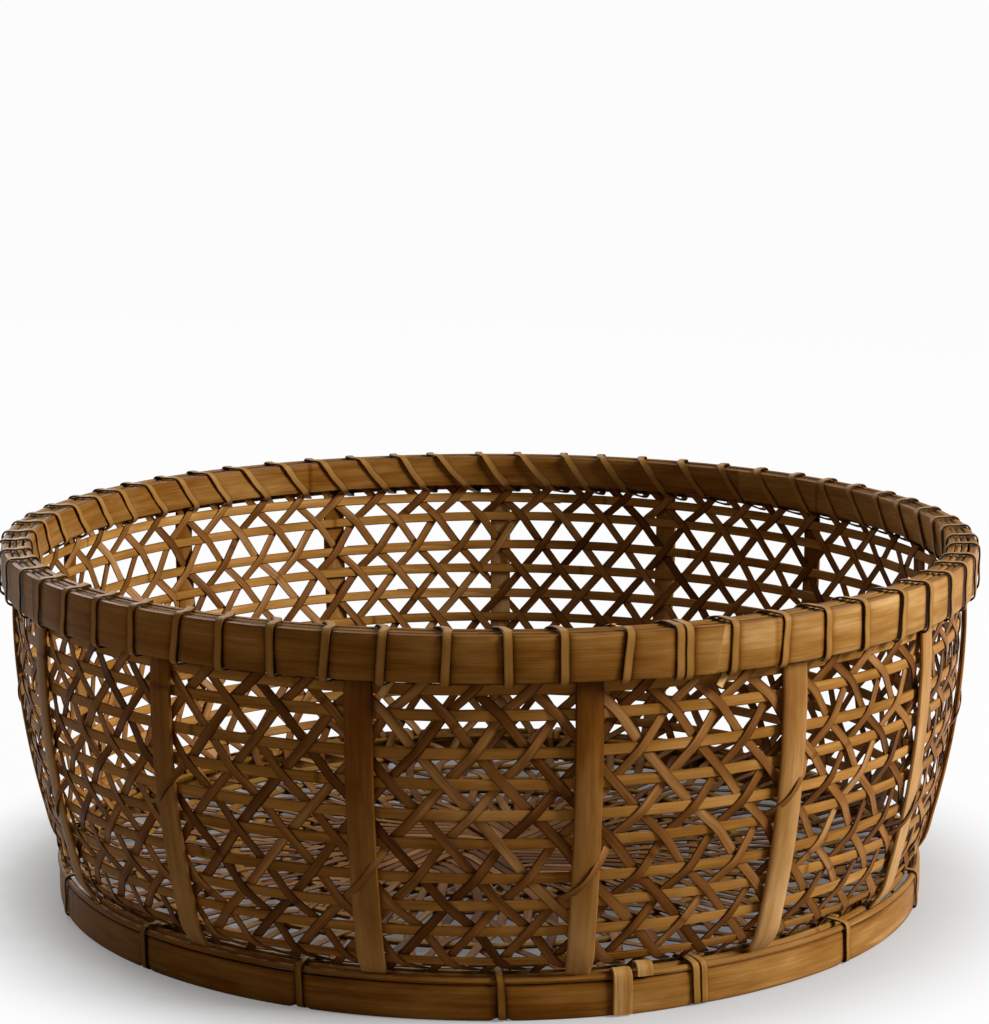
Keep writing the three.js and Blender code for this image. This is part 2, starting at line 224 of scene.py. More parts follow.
# Ranges of the unevenness
SWAY_SIZES, SWAY_COUNTS = (0.1, 0.45), (1, 2, 3, 5)  # of hoops: millimetres, and waves round the bowl
SWELL_SIZES, SWELL_COUNTS = (0.05, 0.25), (2, 3, 5, 9)  # of flat bands and reeds, likewise
STRAND_LEANS, STRAND_SWINGS = (-0.3, 0.3), (0, 0.25)  # degrees
STRAND_WIDTHS, STAKE_WIDTHS = (0.88, 1.02), (0.94, 1.04)  # shares of the full width
STRAND_TONES, HOOP_TONES, RING_TONES = (0.2, 0.95), (0.35, 0.8), (0.4, 0.8)
# A stake's tone at its foot goes above 1: painted light from the floor there.
STAKE_LIT_FOOT_TONES, REED_TONES, TIE_TONES = (1.1, 1.3), (0.3, 0.8), (0.2, 0.6)
WRAP_SHIFTS, WRAP_SLIPS, WRAP_SAGS = (-0.1, 0.9), (-0.6, 0.2), (0, 0.8)  # degrees twice, millimetres


def draw_waves(sizes, counts):
    """Waves round the bowl: height in metres, how many go round, and phase."""
    return [(hand.uniform(*sizes) * MM, count, hand.uniform(0, TURN)) for count in counts]


def wave_height(waves, angle):
    return sum(size * math.sin(count * angle + phase) for size, count, phase in waves)


# Runs of cane

class Station(NamedTuple):
    """One step of a run: the cane's middle, where its bark faces, its size and its skew."""
    point: Vector
    face: Vector
    width: float
    depth: float
    skew: float = 0.0


def polar(radius, angle, height):
    return Vector((radius * math.cos(angle), radius * math.sin(angle), height))


def ease(x):
    """0 below -1 and 1 above 1, with a smooth rise between."""
    t = min(max((x + 1) / 2, 0), 1)
    return t * t * (3 - 2 * t)


def smooth_run(knots, faces, steps, shares=None):
    """Points, faces and shares of the full width along a smooth curve, steps[i] of them after knot i."""
    shares = shares or [1.0] * len(knots)
    tangents = []
    for i in range(len(knots)):
        before, after = knots[max(i - 1, 0)], knots[min(i + 1, len(knots) - 1)]
        tangents.append((after - before) / ((after - knots[i]).length + (knots[i] - before).length))
    points, outs, sizes = [knots[0]], [faces[0]], [shares[0]]
    for i, count in enumerate(steps):
        a, b = knots[i], knots[i + 1]
        third = (b - a).length / 3
        points += interpolate_bezier(
            a, a + tangents[i] * third, b - tangents[i + 1] * third, b, count + 1)[1:]
        for s in range(1, count + 1):
            outs.append(faces[i].lerp(faces[i + 1], s / count).normalized())
            sizes.append(shares[i] + (shares[i + 1] - shares[i]) * s / count)
    return list(zip(points, outs, sizes))


def ring_run(place, start, lap, width, depth, step=RING_STEP, proud=0.0, beside=0.0, slant=0.0, way=1):
    """Once round the bowl and on over its own beginning, with both ends pared down.

    place gives the point and face at an angle. proud lifts the outer end off the inner one, beside
    lays the ends one above the other, and slant skews the cut of the outer end.
    """
    whole = TURN + lap
    count = round(whole / step)
    run = []
    for i in range(count + 1):
        gone, left = whole * i / count, whole * (count - i) / count
        share = min(gone / lap, left / lap, 1)
        side = 1 if left < lap else -1
        thick = depth * (END_DEPTH + (1 - END_DEPTH) * share)
        lift = proud * (1 - share) if side > 0 else 0
        point, face = place(start + way * gone)
        point = point + face * (side * (depth - thick) / 2 + lift)
        point = point + UP * (side * beside * (1 - share))
        wide = width * (1 - END_NARROWING * (1 - share)) if beside else width
        run.append(Station(point, face, wide, thick, slant * max(0, 1 - left / SLANT_RUN)))
    return run


def cut_cane(stations, sides, square, back):
    """Straight cane along +Z, one unit between stations and two units across.

    square below 1 squares the section, and back below 1 flattens its underside.
    """
    cane = bmesh.new()
    bmesh.ops.create_grid(cane, x_segments=stations - 1, y_segments=sides, size=0.5)
    for vertex in cane.verts:
        length, turn = vertex.co.x + 0.5, TURN * (vertex.co.y + 0.5)
        x, y = (math.copysign(abs(c) ** square, c) for c in (math.cos(turn), math.sin(turn)))
        vertex.co = x, y if y > 0 else y * back, length * (stations - 1)
    bmesh.ops.remove_doubles(cane, verts=cane.verts, dist=0.001)
    bmesh.ops.holes_fill(cane, edges=[edge for edge in cane.edges if edge.is_boundary], sides=sides)
    return cane


def lay_cane(piece, run, tone, far_tone=None, sides=8, square=1.0, back=1.0):
    """Bends straight cane along a run and adds it to a piece.

    Its straight place stays in the UV map, and its tone goes from tone to far_tone along it.
    """
    far_tone = tone if far_tone is None else far_tone
    cane = cut_cane(len(run), sides, square, back)
    uv = cane.loops.layers.uv.new(UV_MAP)
    shade = cane.verts.layers.float.new(TONE)
    lengths = [tone * LOT_GAP]
    for a, b in pairwise(run):
        lengths.append(lengths[-1] + (b.point - a.point).length)
    for face in cane.faces:
        for loop in face.loops:
            spot = loop.vert.co
            loop[uv].uv = lengths[round(spot.z)], spot.x
    axes = []
    for i, station in enumerate(run):
        along = (run[min(i + 1, len(run) - 1)].point - run[max(i - 1, 0)].point).normalized()
        across = along.cross(station.face).normalized()
        axes.append((along, across, across.cross(along)))
    for vertex in cane.verts:
        x, y, z = vertex.co
        station = run[round(z)]
        along, across, out = axes[round(z)]
        vertex.co = (station.point + across * (x * station.width / 2) + out * (y * station.depth / 2)
                     + along * (x * station.skew))
        vertex[shade] = tone + (far_tone - tone) * z / (len(run) - 1)
    mesh = bpy.data.meshes.new("length")
    cane.to_mesh(mesh)
    cane.free()
    piece.from_mesh(mesh)
    bpy.data.meshes.remove(mesh)


def lay_strip(piece, knots, faces, width, depth, tone, square, steps=STRIP_STEPS):
    """Lays a strip of one size along a smooth curve through knots."""
    curve = smooth_run(knots, faces, [steps] * (len(knots) - 1))
    lay_cane(piece, [Station(point, face, width, depth) for point, face, _ in curve], tone, square=square)


def dress(node, piece, slot):
    """Makes a piece the visible form of a CAD node."""
    bmesh.ops.recalc_face_normals(piece, faces=piece.faces)
    mesh = bpy.data.meshes.new(f"{node}_cane")
    piece.to_mesh(mesh)
    piece.free()
    mesh.shade_smooth()
    mesh.set_sharp_from_angle(angle=SHARP)
    mesh.materials.append(finishes[slot])
    made = bpy.data.objects.new(f"{node}_cane", mesh)
    bpy.context.scene.collection.objects.link(made)
    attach(made, "root")
    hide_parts(node)


# Finishes

FIBRES, STREAKS, STAINS = (40, 2600), (14, 500), (22, 90)  # marks per metre, along and across the cane
MARK_DETAIL, MARK_ROUGHNESS = 3, 0.6
EDGE_RUN = 0.6 * MM  # about as wide as the darker edge
TONE_PULL, DARKENING_PULL = 0.6, 0.45  # how far they move the shade
JOINT_SPACING, JOINT_HALF = 310 * MM, 1.6 * MM  # growth joints
FIBRE_RELIEF, STREAK_RELIEF = 0.5, 0.8
BUMP_STRENGTH, BUMP_DEPTH = 0.4, 0.2 * MM
STAIN_ROUGHNESS, FIBRE_ROUGHNESS = 0.35, 0.2
SHEEN = 0.04

# Shades of the cane, from dark to light
BAND = [(0.0, "281402"), (0.35, "6b4110"), (0.6, "8a612e"), (1.0, "c19d68")]
LASH = [(0.0, "241302"), (0.35, "754f1b"), (0.65, "98703c"), (1.0, "d4b27c")]
STAKE = [(0.0, "2c1302"), (0.35, "6b3f10"), (0.65, "8d6636"), (1.0, "b99263")]
HOOP = [(0.0, "301a03"), (0.35, "794f1a"), (0.65, "9f7239"), (1.0, "c8a26b")]
RING = [(0.0, "2a1903"), (0.35, "6a4812"), (0.65, "8c6626"), (1.0, "b89550")]
STRAND = [(0.0, "200d02"), (0.35, "5b3512"), (0.65, "7f552a"), (1.0, "b38a5c")]


class Value:
    """A node's output, for sums written as Python."""

    def __init__(self, finish, socket):
        self.finish, self.socket = finish, socket

    def sum(self, operation, *terms):
        node = self.finish.node("Math", {"operation": operation}, dict(enumerate(terms)))
        return Value(self.finish, node.outputs[0])

    def __add__(self, other):
        return self.sum("ADD", self, other)

    def __sub__(self, other):
        return self.sum("SUBTRACT", self, other)

    def __rsub__(self, other):
        return self.sum("SUBTRACT", other, self)

    def __mul__(self, other):
        return self.sum("MULTIPLY", self, other)

    def __pow__(self, other):
        return self.sum("POWER", self, other)

    def __abs__(self):
        return self.sum("ABSOLUTE", self)

    def fraction(self):
        return self.sum("FRACT", self)

    def at_most(self, other):
        return self.sum("MINIMUM", self, other)

    __radd__, __rmul__ = __add__, __mul__


class Finish:
    """A node material, or the world, in the making."""

    def __init__(self, owner):
        owner.use_nodes = True
        self.tree = owner.node_tree
        self.tree.nodes.clear()

    def node(self, kind, settings=None, sockets=None):
        made = self.tree.nodes.new(f"ShaderNode{kind}")
        for name, value in (settings or {}).items():
            if name == "stops":
                self.set_stops(made.color_ramp.elements, value)
            else:
                setattr(made, name, value)
        for name, value in (sockets or {}).items():
            if isinstance(value, Value):
                value = value.socket
            if isinstance(value, bpy.types.NodeSocket):
                self.tree.links.new(value, made.inputs[name])
            else:
                made.inputs[name].default_value = value
        return made

    def value(self, kind, output, settings=None, sockets=None):
        return Value(self, self.node(kind, settings, sockets).outputs[output])

    @staticmethod
    def set_stops(elements, stops):
        while len(elements) < len(stops):
            elements.new(1)
        for element, (position, colour) in zip(elements, stops):
            element.position = position
            element.color = *paint(colour), 1


def paint(code):
    """Linear colour from a six-digit screen colour."""
    screen = [int(code[i:i + 2], 16) / 255 for i in (0, 2, 4)]
    return [c / 12.92 if c < 0.04045 else ((c + 0.055) / 1.055) ** 2.4 for c in screen]


def cane_finish(slot, width, colours, rough=0.5, grain=1.0, stain=0.8, edging=0.35, knuckles=0.0):
    """Satin aged cane: fibres and streaks along it, stains, painted shade and light from the darkening
    attribute, darker edges and growth joints.
    """
    material = bpy.data.materials.new(slot)
    finish = Finish(material)
    uv = finish.node("UVMap", {"uv_map": UV_MAP}).outputs["UV"]
    place = finish.node("SeparateXYZ", {}, {"Vector": uv})
    along, across = (Value(finish, place.outputs[axis]) for axis in "XY")
    tone, soil = (finish.value("Attribute", "Fac", {"attribute_name": name}) for name in (TONE, DARKENING))
    beside = across * (width / 2)

    def marks(per_metre_along, per_metre_across):
        """Noise drawn out along the cane, darker below 0 and lighter above."""
        spot = finish.node("CombineXYZ", {}, {
            "X": along * per_metre_along, "Y": beside * per_metre_across})
        return finish.value("TexNoise", 0, {}, {
            "Vector": spot.outputs[0], "Scale": 1.0,
            "Detail": MARK_DETAIL, "Roughness": MARK_ROUGHNESS}) - 0.5

    fibres, streaks, stains = marks(*FIBRES), marks(*STREAKS), marks(*STAINS)
    edge = abs(across) ** (width / EDGE_RUN)
    shade = (0.5 + (tone - 0.5) * TONE_PULL + (fibres + streaks) * (grain / 2) + stains * stain
             - edge * edging - soil * DARKENING_PULL)
    height = fibres * FIBRE_RELIEF + streaks * STREAK_RELIEF
    if knuckles:
        gap = abs((along * (1 / JOINT_SPACING)).fraction() - 0.5) * (JOINT_SPACING / JOINT_HALF)
        joint = 1 - gap.at_most(1.0)
        shade = shade - joint * knuckles
        height = height + joint
    colour = finish.node("ValToRGB", {"stops": colours}, {"Fac": shade})
    bump = finish.node("Bump", {}, {"Strength": BUMP_STRENGTH, "Distance": BUMP_DEPTH, "Height": height})
    surface = finish.node("BsdfPrincipled", {}, {
        "Base Color": colour.outputs["Color"],
        "Roughness": rough + stains * STAIN_ROUGHNESS - fibres * FIBRE_ROUGHNESS,
        "Normal": bump.outputs["Normal"], "Specular IOR Level": SHEEN})
    finish.node("OutputMaterial", {}, {"Surface": surface.outputs[0]})
    return material


finishes = {
    "band_cane": cane_finish(
        "band_cane", rim.tall, BAND, rough=0.42, grain=0.7, edging=0.3, knuckles=0.2),
    "reed_cane": cane_finish("reed_cane", REED_WIDTH, LASH),
    # The lash and ties get strongly darker edges: painted shade along their sides.
    "lash_cane": cane_finish(
        "lash_cane", LASH_WIDTH, LASH, rough=0.42, grain=0.7, stain=0.6, edging=0.8),
    "stake_cane": cane_finish(
        "stake_cane", STAKE_WIDTH, STAKE, rough=0.46, grain=0.5, edging=0.3, knuckles=0.2),
    "hoop_cane": cane_finish(
        "hoop_cane", HOOP_WIDTH, HOOP, rough=0.45, grain=0.8, stain=0.9, edging=0.4, knuckles=0.25),
    "ring_cane": cane_finish(
        "ring_cane", RING_WIDTH, RING, stain=0.9, edging=0.4, knuckles=0.3),
    "strand_cane": cane_finish(
        "strand_cane", STRAND_WIDTH, STRAND, rough=0.45, grain=0.9, stain=0.9, edging=0.6, knuckles=0.2),
}


# The woven shell: rows run outwards over the base rings and the corner ring, then up the hoops

def shell_rows():
    """Radius and height of each row, from 1, with two in the rim's groove last."""
    rows = {}
    for row, node in enumerate(RINGS, 1):
        ring = reach(node)
        rows[row] = Vector((ring.radius, ring.height))
    rows[CORNER_ROW] = Vector((corner_ring.outer - CORNER_DEPTH / 2, corner_ring.height))
    for row, node in enumerate(HOOPS, LOW_ROW):
        hoop = reach(node)
        rows[row] = Vector((hoop.outer - HOOP_DEPTH / 2 + WALL_SPREAD, hoop.height))
    pitch = rows[TOP_ROW].y - rows[TOP_ROW - 1].y
    groove = (lining.outer + rim.inner) / 2 - TUCK_INSET
    for above in (1, 2):
        rows[TOP_ROW + above] = Vector((groove, rows[TOP_ROW].y + above * pitch))
    return rows


def shell_faces(rows):
    """Outward direction at each row, as radius and height."""
    faces = {}
    for row in rows:
        step = rows[min(row + 1, max(rows))] - rows[max(row - 1, 1)]
        faces[row] = Vector((step.y, -step.x)).normalized()
    return faces


rows = shell_rows()
row_faces = shell_faces(rows)
sways = {row: draw_waves(SWAY_SIZES, SWAY_COUNTS) for row in range(LOW_ROW, TOP_ROW + 1)}


def sway(row, angle):
    """How far a hoop lies above its even place."""
    if row not in sways:
        return 0.0
    return HOOP_LIFTS[row - LOW_ROW] * MM + wave_height(sways[row], angle)


def shell_spot(row, angle):
    """Point and outward direction on the shell at a row or half row."""
    low, high = math.floor(row), math.ceil(row)
    radius, height = (rows[low] + rows[high]) / 2
    out_radius, out_height = (row_faces[low] + row_faces[high]).normalized()
    height += (sway(low, angle) + sway(high, angle)) / 2
    return polar(radius, angle, height), polar(out_radius, angle, out_height)


def weave_depth(row):
    """How far a strand stands off the shell where it passes a ring or hoop."""
    if row > TOP_ROW:
        return TUCK_STAND
    if row == CORNER_ROW:
        return (CORNER_DEPTH + STRAND_DEPTH) / 2 + FIT / 2
    return ((HOOP_DEPTH if row > CORNER_ROW else RING_DEPTH) + STRAND_DEPTH) / 2


def held_row(angle_at):
    """Row at which a strand passes over a stake to hold it down, or None."""
    for i, stake_angle in enumerate(stake_angles):
        row = HOLD_ROWS[i % len(HOLD_ROWS)]
        if abs(math.remainder(angle_at(row) - stake_angle, TURN)) < ROW_TURN / 2:
            return row
    return None


def strand_half(arm, index, side):
    """Knots, faces and shares of the full width, from the first ring to the rim.

    Side 1 leaves the hub on top and leans to the right seen from outside, side -1 mirrors it.
    """
    start = arm_phase + arm * TURN / len(ARMS) + (0 if side > 0 else math.pi)
    lean = hand.uniform(*STRAND_LEANS) * DEG
    swing, phase = hand.uniform(*STRAND_SWINGS) * DEG, hand.uniform(0, TURN)

    def angle_at(row):
        return start - side * ((index + 0.5) * STRAND_PITCH - row * ROW_TURN)

    held = held_row(angle_at) if side > 0 else None
    if held:
        lean = swing = 0
    over_stake = STAKE_STAND + STRAND_DEPTH / 2 + FIT
    knots, outs, shares = [], [], []
    for half in range(2, round(2 * TUCK_ROW) + 1):
        row = half / 2
        spot, out = shell_spot(row, angle_at(row) + lean + swing * math.sin(row + phase))
        stand, share = side * math.cos(math.pi * row) * weave_depth(row), WALL_SHARE
        if held and abs(row - held) < 1:
            stand = over_stake - HOLD_DROP * abs(row - held)
            share = HOLD_SHARE + (WALL_SHARE - HOLD_SHARE) * abs(row - held)
        knots.append(spot + out * stand)
        outs.append(out)
        shares.append(share)
    return knots, outs, shares


def hub_crossing(arm, index):
    """Knots of a strand across the hub: under one neighbour, level, and over the next."""
    angle = arm_phase + arm * TURN / len(ARMS)
    ahead, beside = polar(1, angle, 0), polar(1, angle - math.pi / 2, 0)
    sector = math.pi / len(ARMS)
    offset = HUB_HOLE + (index + 0.5) * HUB_PITCH
    apothem = HUB_HOLE + STRANDS_PER_ARM * HUB_PITCH
    edge = (apothem - offset * math.sin(sector)) / math.cos(sector)
    turn = offset * math.tan(sector)
    rise = weave_depth(1)
    knots = []
    for i in range(HUB_STEPS + 1):
        gone = edge * (2 * i / HUB_STEPS - 1)
        level = ease((gone - turn) / HUB_RAMP) - ease((-gone - turn) / HUB_RAMP)
        knots.append(ahead * gone + beside * offset + UP * (rows[1].y + level * rise))
    return knots


def weave_strands():
    """Strands from rim to rim, down one side, across the hub and up the other."""
    for arm, node in enumerate(ARMS):
        piece = bmesh.new()
        for index in range(STRANDS_PER_ARM):
            down, down_faces, down_shares = strand_half(arm, index, -1)
            up, up_faces, up_shares = strand_half(arm, index, 1)
            hub = hub_crossing(arm, index)
            knots = [*reversed(down), *hub, *up]
            outs = [*reversed(down_faces), *[-UP] * len(hub), *up_faces]
            shares = [*reversed(down_shares), *[HUB_SHARE] * len(hub), *up_shares]
            steps = [HALF_ROW_STEPS] * len(down) + [1] * HUB_STEPS + [HALF_ROW_STEPS] * len(up)
            width = STRAND_WIDTH * hand.uniform(*STRAND_WIDTHS)
            run = [Station(point, out, width * share, STRAND_DEPTH)
                   for point, out, share in smooth_run(knots, outs, steps, shares)]
            lay_cane(piece, run, hand.uniform(*STRAND_TONES), square=0.3, back=0.8)
        dress(node, piece, "strand_cane")


def bend_hoops():
    for row, node in enumerate(HOOPS, LOW_ROW):
        piece = bmesh.new()
        run = ring_run(
            lambda angle: shell_spot(row, angle), hand.uniform(0, TURN), HOOP_LAP, HOOP_WIDTH, HOOP_DEPTH,
            beside=HOOP_BESIDE)
        lay_cane(piece, run, hand.uniform(*HOOP_TONES), hand.uniform(*HOOP_TONES), square=0.6)
        dress(node, piece, "hoop_cane")


def bend_rings():
    for row, node in enumerate([*RINGS, "base_corner_ring"], 1):
        piece = bmesh.new()
        depth = CORNER_DEPTH if row == CORNER_ROW else RING_DEPTH
        width = CORNER_DEPTH if row == CORNER_ROW else RING_WIDTH
        run = ring_run(
            lambda angle: shell_spot(row, angle), hand.uniform(0, TURN), RING_LAP, width, depth,
            proud=RING_PROUD)
        lay_cane(piece, run, hand.uniform(*RING_TONES), hand.uniform(*RING_TONES), square=0.6)
        dress(node, piece, "ring_cane")


def stand_stakes():
    """Stakes follow the wall outside the weave, and tuck in behind the rim and the foot band."""
    low = [(foot.inner - FIT, height) for height in FOOT_TOUCHES]
    wall = [rows[row] + Vector((STAKE_STAND, 0)) for row in range(LOW_ROW, TOP_ROW)]
    high = [(rim.inner - FIT, height) for height in RIM_TOUCHES]
    for i, node in enumerate(STAKES):
        angle = stake_angles[i]
        out = polar(1, angle, 0)
        knots = [polar(radius, angle, height) for radius, height in [*low, *wall, *high]]
        width = STAKE_WIDTH * hand.uniform(*STAKE_WIDTHS) * BROAD_STAKES.get(i, 1)
        run = []
        for bark, *_ in smooth_run(knots, [out] * len(knots), [STAKE_STEPS] * (len(knots) - 1)):
            hidden = max(ease((THIN_BELOW - bark.z) / THIN_RUN), ease((bark.z - THIN_ABOVE) / THIN_RUN))
            depth = STAKE_DEPTH + (STAKE_END_DEPTH - STAKE_DEPTH) * hidden
            run.append(Station(bark - out * depth / 2, out, width * (1 - THIN_NARROWING * hidden), depth))
        piece = bmesh.new()
        # Lighter at the foot and darker at the top: painted light from the floor below and painted shade
        # under the rim
        tone = hand.uniform(*STAKE_LIT_FOOT_TONES)
        lay_cane(piece, run, tone, tone - STAKE_TOP_SHADES[i % len(STAKE_TOP_SHADES)], sides=12, square=0.7)
        dress(node, piece, "stake_cane")


# Rim and foot

def band_place(band):
    """Middle and face of a flat band or a reed at an angle."""
    waves = draw_waves(SWELL_SIZES, SWELL_COUNTS)

    def place(angle):
        return polar(band.radius + wave_height(waves, angle), angle, band.height), polar(1, angle, 0)
    return place


def bend_band(band, splice, tones, step):
    """A flat band, lapped over itself so that its outer end shows at the splice."""
    piece = bmesh.new()
    run = ring_run(
        band_place(band), splice.angle - splice.way * BAND_LAP, BAND_LAP, band.tall, band.deep, step=step,
        proud=BAND_PROUD, slant=splice.slant, way=splice.way)
    lay_cane(piece, run, *tones, sides=16, square=0.45)
    return piece


def pinch_band(piece, strips, half_width, bulge):
    """Lets a band swell between the strips bound over it, with painted shade beside each strip.

    A strip is the angle at which it crosses the band's top, and how far it has turned at the bottom.
    """
    soil = piece.verts.layers.float.new(DARKENING)
    heights = [vertex.co.z for vertex in piece.verts]
    top, tall = max(heights), max(heights) - min(heights)
    for vertex in piece.verts:
        radius, angle = vertex.co.xy.length, math.atan2(vertex.co.y, vertex.co.x)
        low = (top - vertex.co.z) / tall
        off = radius * min(abs(math.remainder(angle - start - slip * low, TURN)) for start, slip in strips)
        vertex[soil] = math.exp(-max(off - half_width, 0) / STRIP_SHADE_RUN)
        vertex.co.xy *= 1 + bulge * (1 - math.exp(-(off / SWELL_RUN) ** 2)) / radius


class Wrap(NamedTuple):
    """One turn of the lashing: its angle on top, how far it turns on the way down, and its sag below."""
    angle: float
    slip: float
    sag: float


def draw_wraps():
    """Turns of the lashing, one to each strand, with one of them doubled."""
    wraps = []
    for i in range(STRAND_COUNT):
        angle = stake_angles[0] + (i + 0.5) * STRAND_PITCH + hand.uniform(*WRAP_SHIFTS) * DEG
        slip, sag = hand.uniform(*WRAP_SLIPS) * DEG, hand.uniform(*WRAP_SAGS) * MM
        if i == DOUBLED_WRAP:
            half = (LASH_WIDTH + FIT) / rim.outer / 2
            wraps += [Wrap(angle - half, 0, sag), Wrap(angle + half, 0, sag)]
        else:
            wraps.append(Wrap(angle, slip, sag))
    return wraps


def paint_light_before_splice(band):
    """Paints light on the rim's outer band before its splice, easing its painted shade into the lighter
    side beyond.
    """
    soil = band.verts.layers.float[DARKENING]
    for vertex in band.verts:
        end = RIM_SPLICE.angle + RIM_SPLICE.slant / rim.outer * (rim.height - vertex.co.z) / (rim.tall / 2)
        before = end - math.atan2(vertex.co.y, vertex.co.x)
        if before > 0:
            vertex[soil] -= SPLICE_LIGHT * math.exp(-(before / SPLICE_LIGHT_RUN) ** 2)


def bend_rim(wraps):
    """The outer band, pinched by its wraps, the inner band and the reeds between them."""
    band = bend_band(rim, RIM_SPLICE, RIM_LIGHT_TONES, FINE_STEP)
    # painted shade on the band beside each wrap
    pinch_band(band, [(wrap.angle, wrap.slip) for wrap in wraps], LASH_WIDTH / 2, RIM_BULGE)
    paint_light_before_splice(band)
    dress("rim_outer_band", band, "band_cane")
    dress("rim_inner_band", bend_band(lining, LINING_SPLICE, LINING_TONES, BAND_STEP), "band_cane")
    for node in REEDS:
        reed = reach(node)
        piece = bmesh.new()
        place = band_place(reed._replace(bottom=reed.bottom + 2 * REED_LIFT))
        run = ring_run(place, hand.uniform(0, TURN), REED_LAP, REED_WIDTH, REED_WIDTH, proud=REED_PROUD)
        lay_cane(piece, run, hand.uniform(*REED_TONES))
        dress(node, piece, "reed_cane")


def wind_lashing(wraps):
    """One strip of cane wound round the bands and reeds of the rim, and its two tails."""
    off = LASH_DEPTH / 2 + FIT
    front, back = rim.outer + off, lining.inner - off
    knots, outs = [], []
    for i, (angle, slip, sag) in enumerate(wraps):
        pitch = (wraps[i + 1].angle if i + 1 < len(wraps) else wraps[0].angle + TURN) - angle
        loop = [  # radius, height, how far round, and where the bark faces
            (rim.inner - 2 * MM, rim.top + off, 0, (0, 1)),
            (rim.outer - 1 * MM, rim.top + off, 0, (0.3, 1)),
            (front, rim.top - 1.2 * MM, 0, (1, 0.3)),
            (front, rim.height, slip / 2, (1, 0)),
            (front, rim.bottom + 1 * MM, slip, (1, -0.3)),
            (rim.outer - 1.6 * MM, rim.bottom - off - sag, slip, (0.2, -1)),
            (rim.inner - 3 * MM, rim.bottom + 0.6 * MM, 0.13 * pitch, (-0.3, -1)),
            (lining.inner + 0.8 * MM, lining.bottom - off, 0.27 * pitch, (-0.5, -1)),
            (back, lining.bottom + 1.5 * MM, 0.33 * pitch, (-1, -0.2)),
            (back, lining.height, 0.57 * pitch, (-1, 0)),
            (back, lining.top - 1.4 * MM, 0.77 * pitch, (-1, 0.3)),
            (lining.inner + 1 * MM, lining.top + off, 0.87 * pitch, (-0.3, 1)),
        ]
        for radius, height, on, (out_radius, out_height) in loop:
            knots.append(polar(radius, angle + on, height))
            outs.append(polar(out_radius, angle + on, out_height).normalized())
    piece = bmesh.new()
    lay_strip(piece, knots, outs, LASH_WIDTH, LASH_DEPTH, LASH_TONE, square=0.5)
    for angle in TAIL_ANGLES:
        tail = [polar(radius * MM, angle + lean * DEG, height * MM) for radius, height, lean in TAIL_ROUTE]
        faces = [polar(1, angle, 0)] * len(tail)
        lay_strip(piece, tail, faces, LASH_WIDTH, TAIL_DEPTH, TAIL_TONE, square=0.4, steps=TAIL_STEPS)
    dress("rim_lashing", piece, "lash_cane")


def mark_foot(piece):
    """Darkens the foot band along its edges, and notches it under its ties."""
    soil = piece.verts.layers.float[DARKENING]
    for vertex in piece.verts:
        edge = min(foot_band.top - vertex.co.z, 2 * vertex.co.z)
        vertex[soil] = max(vertex[soil], EDGE_DARKNESS * math.exp(-max(edge, 0) / EDGE_DARKNESS_RUN))
        angle = math.atan2(vertex.co.y, vertex.co.x)
        off = min(abs(math.remainder(angle - tie, TURN)) for tie in tie_angles) * foot.outer
        low = max(0, 1 - vertex.co.z / NOTCH_HEIGHT)
        vertex.co.z += NOTCH_DEPTH * low * math.exp(-(off / NOTCH_HALF) ** 4)


def bend_foot():
    """The foot band, its reeds, and the strap and plug at its splice."""
    piece = bend_band(foot_band, FOOT_SPLICE, FOOT_TONES, FINE_STEP)
    # painted shade on the band beside each tie
    pinch_band(piece, [(angle, 0) for angle in tie_angles], TIE_WIDTH / 2, 0)
    mark_foot(piece)
    for reed, start, lap in FOOT_REEDS:
        run = ring_run(
            band_place(reed), start, lap, reed.tall, reed.deep, step=FOOT_REED_STEP, proud=REED_PROUD)
        lay_cane(piece, run, *FOOT_REED_TONES)
    for angle, width, route in STRAPS:
        knots = [polar(radius * MM, angle, height * MM) for radius, height in route]
        faces = [polar(1, angle, STRAP_LEAN).normalized()] * len(knots)
        lay_strip(piece, knots, faces, width, STRAP_DEPTH, STRAP_TONE, square=0.4)
    dress("foot_band", piece, "band_cane")


def tie_foot():
    """Ties that loop round the foot band and the corner ring, one of them twice."""
    off = TIE_DEPTH / 2 + FIT
    top = max(foot.top, corner_ring.top) + off
    front, back = foot.outer + off, corner_ring.outer - CORNER_DEPTH - off
    loop = [  # radius, height, and where the bark faces
        (back, corner_ring.top - 1 * MM, (-1, 0.2)),
        (back + 1.5 * MM, top, (-0.4, 1)),
        (foot.outer - 6 * MM, top + 0.4 * MM, (0, 1)),
        (foot.outer - 0.6 * MM, top, (0.3, 1)),
        (front, foot.top - 1 * MM, (1, 0.3)),
        (front, foot.top / 2, (1, 0)),
        (front, 1.6 * MM, (1, -0.4)),
        (foot.outer - 1 * MM, off, (0, -1)),
        (foot_band.inner, off + 0.3 * MM, (-0.4, -1)),
        (back + 3 * MM, 7 * MM, (-0.7, -0.7)),
    ]
    pitch = (TIE_WIDTH + FIT) / foot.outer
    for i, node in enumerate(TIES):
        rounds = 2 if i == DOUBLED_TIE else 1
        knots, outs = [], []
        for k in range(len(loop) * rounds + TIE_OVERLAP):
            radius, height, (out_radius, out_height) = loop[k % len(loop)]
            angle = tie_angles[i] + pitch * (k / len(loop) - rounds / 2)
            knots.append(polar(radius, angle, height))
            outs.append(polar(out_radius, angle, out_height).normalized())
        piece = bmesh.new()
        lay_strip(piece, knots, outs, TIE_WIDTH, TIE_DEPTH, hand.uniform(*TIE_TONES), square=0.5)
        dress(node, piece, "lash_cane")


weave_strands()
bend_hoops()
bend_rings()
stand_stakes()
wraps = draw_wraps()
bend_rim(wraps)
wind_lashing(wraps)
bend_foot()
tie_foot()


# Studio

